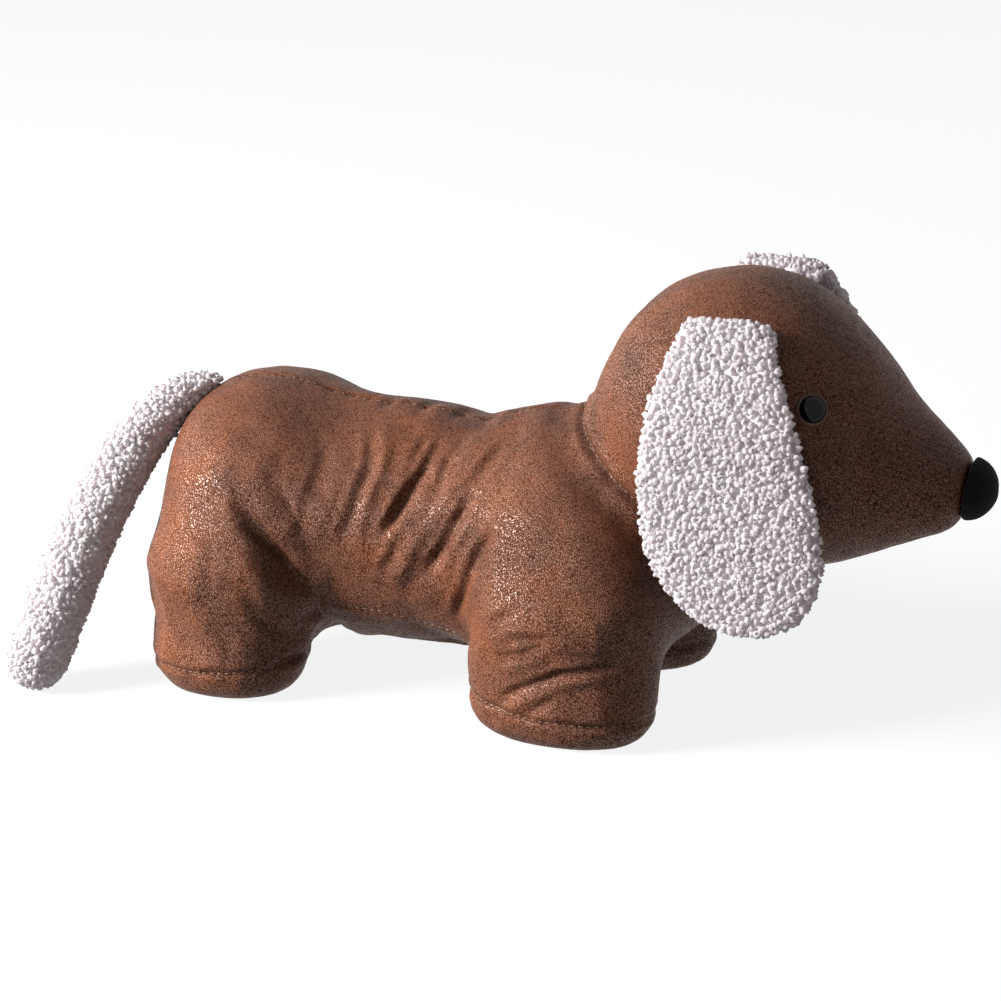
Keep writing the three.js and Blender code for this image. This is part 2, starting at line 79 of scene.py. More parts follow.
# Folds in the flanks. Each is a line of (x, z) in millimetres on the skin as seen from the side, then its depth,
# its half width and how far its front lip stands proud, in millimetres.
FOLDS = (
    (((-34, 119), (-35, 115), (-37, 109)), 0.8, 2.4, 0.9),
    (((-28, 118), (-30, 111), (-31, 107), (-33, 103), (-35, 98)), 1.5, 2.2, 1.5),
    (((-34, 104), (-37, 96), (-40, 91), (-42, 86), (-45, 79)), 1.8, 2.3, 2.0),
    (((-34, 86), (-38, 76), (-41, 70), (-46, 62)), 1.0, 2.4, 1.4),
    (((3, 121), (-2, 114), (-5, 109), (-9, 103)), 0.9, 2.6, 1.1),
    (((-5, 103), (-10, 93), (-13, 87), (-16, 80), (-20, 74), (-25, 66)), 1.9, 2.3, 1.8),
    (((8, 91), (1, 80), (-2, 73), (-5, 65), (-8, 57), (-13, 44)), 2.6, 2.4, 1.6),
    (((-20, 107), (-22, 100), (-25, 92), (-29, 84)), 0.7, 2.4, 1.0),
    (((-61, 119), (-56, 110), (-55, 105), (-57, 99), (-58, 92), (-60, 85), (-63, 74)), 1.1, 2.4, 1.4),
    (((-46, 112), (-47, 104), (-49, 95), (-52, 86)), 0.6, 2.2, 0.8),
    (((-76, 112), (-77, 103), (-79, 92), (-81, 83), (-85, 72)), 0.5, 3.4, 0.9),
    (((-28, 66), (-33, 58), (-36, 50)), 0.7, 3.2, 0.7),
    (((-64, 60), (-70, 52), (-77, 46)), 0.9, 4.2, 0.6),
    (((-129, 77), (-123, 75), (-117, 73), (-111, 70)), 0.8, 1.7, -0.5),
    (((-106, 83), (-100, 76), (-95, 71), (-89, 65), (-82, 56)), 1.4, 3.0, 0.9),
    (((-112, 62), (-105, 54), (-101, 50), (-96, 45), (-90, 39)), 1.6, 3.4, 0.9),
    (((-109, 47), (-101, 43), (-96, 39), (-92, 34), (-86, 27)), 1.3, 2.2, 0.7),
    (((-84, 22), (-89, 18), (-95, 12)), 1.6, 2.4, 0.5),
    (((75, 43), (62, 42), (54, 40), (45, 38), (38, 34), (28, 29), (18, 23)), 2.2, 1.9, 1.2),
    (((74, 47), (62, 46), (54, 47), (44, 48)), 0.9, 1.7, 0.7),
    (((39, 51), (30, 46), (23, 43), (16, 40)), 1.0, 2.0, 0.9),
    (((42, 55), (31, 52), (20, 51)), 0.8, 2.0, 0.8),
    (((44, 28), (37, 22), (30, 17)), 0.9, 2.0, 0.7),
    (((28, 29), (22, 24), (16, 20)), 0.8, 2.0, 0.7),
    (((28, 66), (18, 59), (9, 52)), 0.7, 2.6, 0.8),
)

# Where the stuffing fills the flanks out between the haunches and the waist: (x, z) of the middle, the half length
# and half height of the swell and its height, in millimetres.
SWELLS = (((-87, 86), 32, 30, 6.5), ((-86, 50), 14, 16, 2.5))

# The waist's middle and half length, as x in millimetres. The cover has its slack there.
WAIST = (-35, 48)

# Seams of the trunk and head that show as lines, as (x, z) in millimetres seen from the side.
BELLY_SEAM = ((-76, 43), (-72, 44), (-61, 42.5), (-48, 42), (-36, 39), (-22, 36), (-13, 35))
CHEEK_SEAM = ((150, 152), (163, 148), (172, 142), (180, 135), (185, 131), (190, 127), (197, 122))
NAPE_DART = ((70, 175.5), (76, 178.5), (83, 181))

# The back seam's ends and where its thread gathers the skin, as x in millimetres.
BACK_SEAM = (-134, 34)
BACK_GATHERS = (-60, -43, -27, -12)

# Nothing of a foot's cover that a sole seam cuts lies higher than this.
FOOT_TOP = 24 * MM

# The photograph's view: degrees round from the dog's right side and up, the distance in metres, the focal length
# and the picture's width in pixels, and the sensor's width in millimetres.
VIEW = {"round": 20, "up": 20, "distance": 1.4, "focal_pixels": 3150, "pixels": 1001, "sensor": 36}
VIEW_TARGET = Vector((-0.0082, MIDDLE, 0.084))

# What each lamp shines at.
LIT_SPOT = Vector((0, MIDDLE, 0.08))


def linear(colour):
    """An sRGB hex colour as linear red, green and blue."""
    parts = [int(colour[n : n + 2], 16) / 255 for n in (0, 2, 4)]
    return [c / 12.92 if c <= 0.04045 else ((c + 0.055) / 1.055) ** 2.4 for c in parts]


class DoorStopCover(bpy.types.PropertyGroup):
    grid: FloatProperty(
        name="Cloth Grid", description="Spacing of the stuffed skin's mesh before it is refined",
        default=5 * MM, min=3 * MM, max=9 * MM, unit="LENGTH",
    )
    slack: FloatProperty(
        name="Slack", description="Share by which the cover is cut larger than its stuffing",
        default=0.09, min=0, max=0.2, subtype="FACTOR",
    )
    give: FloatProperty(
        name="Give", description="Furthest that the stuffing pushes the skin from its pattern",
        default=4 * MM, min=0, max=16 * MM, unit="LENGTH",
    )
    seam_depth: FloatProperty(
        name="Seam Depth", description="How deep the thread pulls a seam in", default=1.3 * MM, unit="LENGTH",
    )
    grain: FloatProperty(
        name="Grain", description="Width of one pebble of the embossed grain", default=0.62 * MM, unit="LENGTH",
    )
    base: FloatVectorProperty(
        name="Base", description="The cover's main brown", subtype="COLOR", default=linear("865640"),
    )
    dark: FloatVectorProperty(
        name="Dark", description="Brown of the dark patches", subtype="COLOR", default=linear("684332"),
    )
    warm: FloatVectorProperty(
        name="Warm", description="Orange brown of the rubbed patches", subtype="COLOR", default=linear("985e3f"),
    )


class DoorStopPile(bpy.types.PropertyGroup):
    spacing: FloatProperty(
        name="Loop Spacing", description="Distance between two loops of the pile", default=2.2 * MM, unit="LENGTH",
    )
    loop: FloatProperty(
        name="Loop Radius", description="Radius of one curled loop", default=0.85 * MM, unit="LENGTH",
    )
    yarn: FloatProperty(
        name="Yarn Radius", description="Radius of the looped yarn", default=1.1 * MM, unit="LENGTH",
    )
    height: FloatProperty(
        name="Pile Height", description="How far the pile stands off its backing", default=1.3 * MM, unit="LENGTH",
    )
    seed: IntProperty(name="Seed", description="Changes how the loops fall", default=7)
    colour: FloatVectorProperty(
        name="Yarn", description="Off-white of the yarn", subtype="COLOR", default=linear("fdf8f9"),
    )


class DoorStopFace(bpy.types.PropertyGroup):
    eye_radius: FloatProperty(
        name="Eye Radius", description="Radius of a button eye", default=7 * MM, unit="LENGTH",
    )
    eye_dome: FloatProperty(
        name="Eye Dome", description="Height of a button eye over the cover", default=4.4 * MM, unit="LENGTH",
    )
    felt: FloatVectorProperty(
        name="Felt", description="Black of the nose", subtype="COLOR", default=linear("101012"),
    )


class DoorStopStage(bpy.types.PropertyGroup):
    key: FloatProperty(name="Window Light", description="Power of the main soft light", default=53.0)
    fill: FloatProperty(name="Fill Light", description="Power of the small weak light beside the camera", default=1.0)
    sky: FloatProperty(name="Room Light", description="Strength of the even light of the room", default=0.035)


# Points and meshes.


def ripple(points, size, seed):
    """Smooth noise from -1 to 1 at each point, with swells of about that size."""
    scaled = points / size + 17.31 * seed
    cell = np.floor(scaled).astype(np.int64)
    part = scaled - cell
    part = part * part * (3 - 2 * part)
    total = np.zeros(len(points))
    for corner in np.ndindex(2, 2, 2):
        key = cell + corner
        mixed = key[:, 0] * 73856093 ^ key[:, 1] * 19349663 ^ key[:, 2] * 83492791
        mixed = ((mixed ^ (mixed >> 13)) * 1274126177) & 0x7FFFFFFF
        total += np.prod(np.where(corner, part, 1 - part), axis=1) * (mixed / 0x3FFFFFFF - 1)
    return total


def points_of(mesh):
    found = np.empty(3 * len(mesh.vertices))
    mesh.vertices.foreach_get("co", found)
    return found.reshape(-1, 3)


def normals_of(mesh):
    found = np.empty(3 * len(mesh.vertices))
    mesh.vertices.foreach_get("normal", found)
    return found.reshape(-1, 3)


def edges_of(mesh):
    found = np.empty(2 * len(mesh.edges), int)
    mesh.edges.foreach_get("vertices", found)
    return found.reshape(-1, 2)


def move_to(mesh, points):
    mesh.vertices.foreach_set("co", points.ravel())
    mesh.update()


def new_object(name, mesh):
    made = bpy.data.objects.new(name, mesh)
    bpy.context.scene.collection.objects.link(made)
    return made


def kept(made):
    """Replaces an object's mesh by what its modifiers make of it."""
    bpy.context.view_layer.update()
    shaped = bpy.data.meshes.new_from_object(made.evaluated_get(bpy.context.evaluated_depsgraph_get()))
    made.modifiers.clear()
    before, made.data = made.data, shaped
    bpy.data.meshes.remove(before)
    return made


def joined_skin(name, nodes, grid, overlap=0.3 * MM):
    """One closed skin round several CAD nodes on an even grid. The overlap closes the gaps between them."""
    whole = bmesh.new()
    for node in nodes:
        part = bmesh.new()
        part.from_mesh(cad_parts[node].data)
        bmesh.ops.remove_doubles(part, verts=part.verts, dist=0.005 * MM)
        part.normal_update()
        for vertex in part.verts:
            vertex.co += vertex.normal * overlap
        copy = bpy.data.meshes.new(node)
        part.to_mesh(copy)
        whole.from_mesh(copy)
        part.free()
        bpy.data.meshes.remove(copy)
    mesh = bpy.data.meshes.new(name)
    whole.to_mesh(mesh)
    whole.free()
    made = new_object(name, mesh)
    remesh = made.modifiers.new("grid", "REMESH")
    remesh.mode = "VOXEL"
    remesh.voxel_size = grid
    return kept(made)


def relaxed(points, edges, rounds, forward=0.5, backward=-0.52):
    """Evens out the facets without shrinking the form."""
    count = np.bincount(edges.ravel(), minlength=len(points))
    for _ in range(rounds):
        for share in (forward, backward):
            middle = np.stack(
                [
                    np.bincount(edges[:, 0], points[edges[:, 1], axis], len(points))
                    + np.bincount(edges[:, 1], points[edges[:, 0], axis], len(points))
                    for axis in range(3)
                ],
                1,
            )
            points = points + share * (middle / count[:, None] - points)
    return points


def evened(made, rounds):
    move_to(made.data, relaxed(points_of(made.data), edges_of(made.data), rounds))


def refined(made, levels):
    smooth = made.modifiers.new("refine", "SUBSURF")
    smooth.levels = smooth.render_levels = levels
    return kept(made)


def stuffed(made, held, tight, slack, give, frames=18):
    """Fills a skin: cloth under pressure, held where it is sewn, with slack where it is not cut tight. Its
    wrinkles are kept, and the form as a whole stays that of the pattern."""
    before = points_of(made.data)
    for name, weights in (("held", held), ("tight", tight)):
        group = made.vertex_groups.new(name=name)
        for index, weight in enumerate(weights):
            if weight > 0:
                group.add([index], float(weight), "REPLACE")
    cloth = made.modifiers.new("cloth", "CLOTH")
    cloth.settings.quality = 6
    cloth.settings.mass = 0.2
    cloth.settings.tension_stiffness = 20
    cloth.settings.compression_stiffness = 20
    cloth.settings.shear_stiffness = 6
    cloth.settings.bending_stiffness = 0.3
    cloth.settings.air_damping = 4
    cloth.settings.use_pressure = True
    cloth.settings.uniform_pressure_force = 4
    cloth.settings.vertex_group_mass = "held"
    cloth.settings.vertex_group_shrink = "tight"
    cloth.settings.shrink_min = -slack
    cloth.settings.shrink_max = 0.0
    cloth.settings.effector_weights.gravity = 0
    cloth.collision_settings.use_collision = False
    cloth.point_cache.frame_start = 1
    cloth.point_cache.frame_end = frames
    scene = bpy.context.scene
    for number in range(1, frames + 1):
        scene.frame_set(number)
    kept(made)
    scene.frame_set(1)
    made.vertex_groups.clear()
    moved = points_of(made.data) - before
    moved -= relaxed(moved, edges_of(made.data), 30, backward=0)
    far = np.linalg.norm(moved, axis=1, keepdims=True)
    move_to(made.data, before + moved * np.minimum(1, give / np.maximum(far, 1e-9)))
    return made


# Lines on the skin.


def tree_of(made):
    mesh = made.data
    return BVHTree.FromPolygons([v.co for v in mesh.vertices], [p.vertices for p in mesh.polygons])


def seen_from_side(tree, line, side):
    """Where the (x, z) of a line meet the skin, seen from the dog's right (-1) or left (1)."""
    found = []
    for x, z in line:
        hit = tree.ray_cast(Vector((x * MM, MIDDLE + side * 0.5, z * MM)), Vector((0, -side, 0)))[0]
        if hit is not None:
            found.append(hit)
    return found


def seen_from_above(tree, x_values):
    hits = [tree.ray_cast(Vector((x * MM, MIDDLE, 0.5)), Vector((0, 0, -1)))[0] for x in x_values]
    return [hit for hit in hits if hit is not None]


def ring_on_plane(tree, middle, axis, steps=240):
    """The closed line in which a plane through a limb's middle cuts the skin."""
    across = axis.orthogonal().normalized()
    along = axis.cross(across).normalized()
    turns = [math.tau * n / steps for n in range(steps + 1)]
    hits = [tree.ray_cast(middle, across * math.cos(t) + along * math.sin(t))[0] for t in turns]
    return [hit for hit in hits if hit is not None]


def beside(points, line):
    """Each point's distance from a line, the share of the line's length at its nearest place, and whether it
    lies in front of the line (1) or behind it (-1)."""
    line = np.array(line)
    steps = np.diff(line, axis=0)
    lengths = np.linalg.norm(steps, axis=1)
    starts = np.concatenate([[0], np.cumsum(lengths)])
    nearest = np.full(len(points), np.inf)
    along = np.zeros(len(points))
    front = np.ones(len(points))
    for a, step, length, start in zip(line, steps, lengths, starts):
        share = np.clip((points - a) @ step / max(length, 1e-9) ** 2, 0, 1)
        offset = points - a - share[:, None] * step
        distance = np.linalg.norm(offset, axis=1)
        closer = distance < nearest
        nearest[closer] = distance[closer]
        along[closer] = ((start + share * length) / starts[-1])[closer]
        front[closer] = np.sign(offset @ np.cross(step, (0, 1, 0)))[closer]
    return nearest, along, front


def fold_height(points, line, depth, width, lip):
    """A fold that dies out at both ends: a short steep wall behind its valley, a long gentle one in front and
    a soft lip past both. A negative lip turns it round."""
    distance, along, front = beside(points, line)
    ends = np.sin(np.pi * along) ** 0.6
    gentle = front * np.sign(lip) > 0
    reach = np.where(gentle, 1.3, 0.75) * width
    valley = np.exp(-((distance / reach) ** 1.4))
    crest = np.exp(-(((distance - 2.1 * reach) / (1.1 * reach)) ** 2)) * np.where(gentle, 1, 0.5)
    return ends * (abs(lip) * crest - depth * valley)


def seam_height(points, distance, depth, seed, gather=1.0):
    """A sewn seam: a sharp line with a soft welt on both sides, gathered by its stitches."""
    line = -depth * np.exp(-distance / (1.1 * MM))
    welt = 0.35 * depth * np.exp(-(((distance - 3.2 * MM) / (1.8 * MM)) ** 2))
    gathers = gather * 0.45 * depth * ripple(points, 4.5 * MM, seed) * np.exp(-((distance / (6 * MM)) ** 2))
    return line + welt + gathers


# Sewing.


def stitches(name, lines, pitch=3.5 * MM, length=2.5 * MM, thread=0.3 * MM):
    """Rows of short bent stitches along lines on the skin, each line a list of points and outward directions."""
    vertices, faces = [], []
    sides, rings = 5, 5
    for line in lines:
        spots = np.array([p for p, _ in line])
        outward = np.array([n for _, n in line])
        reach = np.concatenate([[0], np.cumsum(np.linalg.norm(np.diff(spots, axis=0), axis=1))])
        for start in np.arange(pitch / 2, reach[-1] - length, pitch):
            places = start + length * np.linspace(0, 1, rings)
            middles = np.stack([np.interp(places, reach, spots[:, axis]) for axis in range(3)], 1)
            normal = np.array([np.interp(start + length / 2, reach, outward[:, axis]) for axis in range(3)])
            normal /= np.linalg.norm(normal)
            tangent = middles[-1] - middles[0]
            tangent /= max(np.linalg.norm(tangent), 1e-9)
            across = np.cross(tangent, normal)
            arch = np.sin(np.pi * np.linspace(0, 1, rings))
            middles = middles + normal * (thread * (1.5 * arch - 0.9))[:, None]
            first = len(vertices)
            for middle, swell in zip(middles, 0.45 + 0.55 * arch):
                for n in range(sides):
                    turn = math.tau * n / sides
                    vertices.append(middle + swell * thread * (across * math.cos(turn) + normal * math.sin(turn)))
            for ring in range(rings - 1):
                for n in range(sides):
                    a, b = first + ring * sides + n, first + ring * sides + (n + 1) % sides
                    faces.append((a, b, b + sides, a + sides))
            faces.append(tuple(range(first + sides - 1, first - 1, -1)))
            faces.append(tuple(range(first + (rings - 1) * sides, first + rings * sides)))
    mesh = bpy.data.meshes.new(name)
    mesh.from_pydata(vertices, [], faces)
    return new_object(name, mesh)


def with_normals(tree, line):
    return [(point, tree.find_nearest(point)[1]) for point in line]


def cut_apart(made, name, point, axis, inside):
    """Cuts the skin along a plane where inside(point) is true. What lies past the plane becomes a piece."""
    whole = bmesh.new()
    whole.from_mesh(made.data)
    reached = {v for v in whole.verts if inside(v.co)}
    faces = [f for f in whole.faces if all(v in reached for v in f.verts)]
    edges = {e for f in faces for e in f.edges}
    bmesh.ops.bisect_plane(
        whole, geom=[*faces, *edges, *reached], dist=0.01 * MM, plane_co=point, plane_no=axis,
    )
    past = [
        f
        for f in whole.faces
        if inside(f.calc_center_median()) and (f.calc_center_median() - point).dot(axis) > 0
    ]
    piece = bmesh.new()
    piece_mesh = bpy.data.meshes.new(name)
    lookup = {}
    carried = whole.verts.layers.float
    layers = [(carried[key], piece.verts.layers.float.new(key)) for key in carried.keys()]
    for face in past:
        corners = []
        for vertex in face.verts:
            if vertex not in lookup:
                lookup[vertex] = piece.verts.new(vertex.co)
                for old, new in layers:
                    lookup[vertex][new] = vertex[old]
            corners.append(lookup[vertex])
        piece.faces.new(corners)
    piece.to_mesh(piece_mesh)
    piece.free()
    bmesh.ops.delete(whole, geom=past, context="FACES")
    whole.to_mesh(made.data)
    whole.free()
    return new_object(name, piece_mesh)


def sewn_on(made, material, slot, *nodes):
    """Finishes a piece: its material, smooth faces, its body and the nodes that it stands for. The slot is not used.
    """
    made.data.materials.clear()
    for each in material if isinstance(material, (list, tuple)) else [material]:
        made.data.materials.append(each)
    made.data.shade_smooth()
    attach(made, "root")
    if nodes:
        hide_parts(*nodes)
    return made


# Materials.


def add(tree, kind, settings=None, *feeds, **links):
    """A node with its settings and the sockets that feed it. A name in links or settings is a socket's or a
    property's; spaces in socket names are written as underscores. Feeds, sockets or plain values, go to the first
    sockets in order."""
    made = tree.nodes.new(kind)
    for key, value in (settings or {}).items():
        socket = next((s for s in made.inputs if s.name.replace(" ", "_") == key and s.enabled), None)
        if socket is None:
            setattr(made, key, value)
        else:
            socket.default_value = value
    for socket, source in zip(made.inputs, feeds):
        if isinstance(source, bpy.types.NodeSocket):
            tree.links.new(source, socket)
        else:
            socket.default_value = source
    for key, source in links.items():
        socket = next(s for s in made.inputs if s.name.replace(" ", "_") == key and s.enabled)
        tree.links.new(source, socket)
    return made


def new_material(name):
    material = bpy.data.materials.new(name)
    material.use_nodes = True
    tree = material.node_tree
    tree.nodes.clear()
    return material, tree


def coated(material, shader):
    add(material.node_tree, "ShaderNodeOutputMaterial", None, shader)
    return material


def ramp(tree, source, stops):
    made = add(tree, "ShaderNodeValToRGB", Fac=source)
    elements = made.color_ramp.elements
    while len(elements) < len(stops):
        elements.new(0.5)
    for element, (place, colour) in zip(elements, stops):
        element.position = place
        element.color = (*colour, 1)
    return made.outputs["Color"]


def rubbed_imitation_leather(cover):
    """Imitation leather: a brown film on cloth, embossed with a pebble grain and rubbed by hand so that its tone
    wanders. The eye gets fine specks of light on the full parts and dark, warm and greyish patches."""
    material, tree = new_material("Rubbed imitation leather")
    place = add(tree, "ShaderNodeTexCoord").outputs["Object"]
    patches = add(
        tree, "ShaderNodeTexNoise", {"Scale": 1 / (30 * MM), "Detail": 6.0, "Roughness": 0.6, "Distortion": 0.5},
        Vector=place,
    ).outputs["Fac"]
    tone = ramp(tree, patches, [(0.3, cover.dark), (0.48, cover.base), (0.68, cover.warm)])
    film = add(
        tree, "ShaderNodeTexNoise", {"Scale": 1 / (22 * MM), "Detail": 4.0, "Roughness": 0.6}, Vector=place,
    ).outputs["Fac"]
    amount = add(
        tree, "ShaderNodeMapRange", {"From_Min": 0.5, "From_Max": 0.72, "To_Min": 0.0, "To_Max": 0.2}, Value=film,
    ).outputs["Result"]
    greyed = add(tree, "ShaderNodeMix", {"data_type": "RGBA", "B": (*linear("6b4a3b"), 1)}, A=tone, Factor=amount)

    # The pebbles are longer than they are wide and lean forwards, and none is quite like the next. They are about
    # as small as the render can show.
    wander = add(tree, "ShaderNodeTexNoise", {"Scale": 1 / (1.8 * MM), "Detail": 2.0}, Vector=place).outputs["Color"]
    pushed = add(tree, "ShaderNodeVectorMath", {"operation": "MULTIPLY_ADD"}, wander, [0.7 * MM] * 3, place)
    stretched = add(
        tree, "ShaderNodeMapping",
        {"vector_type": "TEXTURE", "Rotation": (0, math.radians(30), 0), "Scale": (1, 1, 2.8)},
        Vector=pushed.outputs["Vector"],
    )
    pebble = add(
        tree, "ShaderNodeTexVoronoi", {"feature": "DISTANCE_TO_EDGE", "Scale": 1 / cover.grain},
        Vector=stretched.outputs["Vector"],
    ).outputs["Distance"]
    pores = add(
        tree, "ShaderNodeTexNoise", {"Scale": 1 / (1.6 * MM), "Detail": 2.0, "Roughness": 0.5}, Vector=place,
    ).outputs["Fac"]
    height = add(
        tree, "ShaderNodeMapRange", {"interpolation_type": "SMOOTHSTEP", "From_Max": 0.36}, Value=pebble,
    ).outputs["Result"]
    relief = add(tree, "ShaderNodeMath", {"operation": "MULTIPLY_ADD"}, pores, 0.6, height)

    # The valleys between the pebbles are darker and the pebbles' tops lighter: partly the dark stain that the valleys
    # keep, partly painted shade in the valleys and painted light on the tops, for a relief too small for the render to
    # shade.
    shade = ramp(tree, height, [(0.0, (0.27, 0.22, 0.2)), (0.45, (0.9, 0.88, 0.87)), (1.0, (1.2, 1.19, 1.19))])
    stained_and_shaded = add(
        tree, "ShaderNodeMix", {"data_type": "RGBA", "blend_type": "MULTIPLY", "Factor": 1.0},
        A=greyed.outputs[2], B=shade,
    )
    # Painted shade: a dark brown mixed in where the sewing marked the folds' valleys and the seams' grooves.
    crease_shade = add(tree, "ShaderNodeAttribute", {"attribute_name": "crease_shade"}).outputs["Fac"]
    crease_shaded = add(
        tree, "ShaderNodeMix", {"data_type": "RGBA", "B": (*linear("26150f"), 1)},
        A=stained_and_shaded.outputs[2], Factor=crease_shade,
    )

    gloss = add(
        tree, "ShaderNodeMapRange", {"From_Min": 0.4, "From_Max": 1.3, "To_Min": 0.6, "To_Max": 0.3},
        Value=relief.outputs["Value"],
    ).outputs["Result"]
    shine = add(tree, "ShaderNodeMapRange", {"To_Min": 0.03, "To_Max": 0.8}, Value=height).outputs["Result"]
    bump = add(tree, "ShaderNodeBump", {"Strength": 1.0, "Distance": 0.13 * MM}, Height=relief.outputs["Value"])
    skin = add(
        tree, "ShaderNodeBsdfPrincipled", {"IOR": 1.5, "Specular_Tint": (*linear("fcebe0"), 1)},
        Base_Color=crease_shaded.outputs[2], Specular_IOR_Level=shine, Roughness=gloss, Normal=bump.outputs["Normal"],
    )
    return coated(material, skin.outputs["BSDF"])


def looped_yarn(pile):
    """Acrylic loop yarn, matte and soft: off-white fuzzy loops that let light through, so that their shaded sides
    and the gaps between them stay pale, each a touch warmer or cooler than the next."""
    material, tree = new_material("Looped acrylic yarn")
    place = add(tree, "ShaderNodeTexCoord").outputs["Object"]
    loops = add(tree, "ShaderNodeTexNoise", {"Scale": 1 / (4 * MM), "Detail": 2.0}, Vector=place).outputs["Fac"]
    tone = ramp(tree, loops, [(0.3, linear("f5edf0")), (0.55, pile.colour), (0.75, linear("fefcfb"))])
    fibres = add(
        tree, "ShaderNodeTexNoise", {"Scale": 1 / (0.7 * MM), "Detail": 3.0, "Roughness": 0.7}, Vector=place,
    ).outputs["Fac"]
    flecks = ramp(tree, fibres, [(0.32, (0.86, 0.85, 0.85)), (0.58, (1.0, 1.0, 1.0))])
    fuzz = add(
        tree, "ShaderNodeMix", {"data_type": "RGBA", "blend_type": "MULTIPLY", "Factor": 1.0}, A=tone, B=flecks,
    )
    bump = add(tree, "ShaderNodeBump", {"Strength": 0.6, "Distance": 0.3 * MM}, Height=fibres)
    yarn = add(
        tree, "ShaderNodeBsdfPrincipled",
        {"Roughness": 0.95, "IOR": 1.4, "Sheen_Weight": 1.0, "Sheen_Roughness": 0.6},
        Base_Color=fuzz.outputs[2], Normal=bump.outputs["Normal"],
    )
    through = add(tree, "ShaderNodeBsdfTranslucent", Color=fuzz.outputs[2])
    mixed = add(tree, "ShaderNodeMixShader", None, 0.5, yarn.outputs["BSDF"], through.outputs["BSDF"])
    return coated(material, mixed.outputs["Shader"])


def knitted_backing():
    """The knitted ground of the pile, which is what shows in the gaps: the same yarn, a little darker as painted shade
    between the loops.
    """
    material, tree = new_material("Knitted pile backing")
    cloth = add(tree, "ShaderNodeBsdfPrincipled", {"Base_Color": (*linear("f3ecef"), 1), "Roughness": 1.0})
    return coated(material, cloth.outputs["BSDF"])


def wool_felt(face):
    """Pressed wool felt: black, without any shine but a faint bloom of fibres at its rim."""
    material, tree = new_material("Pressed black wool felt")
    place = add(tree, "ShaderNodeTexCoord").outputs["Object"]
    fibres = add(
        tree, "ShaderNodeTexNoise", {"Scale": 1 / (0.8 * MM), "Detail": 4.0, "Roughness": 0.75}, Vector=place,
    ).outputs["Fac"]
    bump = add(tree, "ShaderNodeBump", {"Strength": 0.5, "Distance": 0.3 * MM}, Height=fibres)
    felt = add(
        tree, "ShaderNodeBsdfPrincipled",
        {"Base_Color": (*face.felt, 1), "Roughness": 1.0, "IOR": 1.3, "Sheen_Weight": 0.08, "Sheen_Roughness": 0.6},
        Normal=bump.outputs["Normal"],
    )
    return coated(material, felt.outputs["BSDF"])


def moulded_acrylic(name, colour, roughness):
    """Moulded and polished acrylic: a small hard glint on the black drop, and a softer one on its smoky rim."""
    material, tree = new_material(name)
    gloss = add(
        tree, "ShaderNodeBsdfPrincipled",
        {"Base_Color": (*linear(colour), 1), "Roughness": roughness, "IOR": 1.49, "Specular_IOR_Level": 0.15},
    )
    return coated(material, gloss.outputs["BSDF"])


def polyester_thread():
    """Twisted polyester thread: a dull brown with a faint silky light on each stitch."""
    material, tree = new_material("Twisted polyester thread")
    thread = add(
        tree, "ShaderNodeBsdfPrincipled",
        {"Base_Color": (*linear("8a6046"), 1), "Roughness": 0.45, "IOR": 1.55, "Sheen_Weight": 0.1},
    )
    return coated(material, thread.outputs["BSDF"])


# Operators.


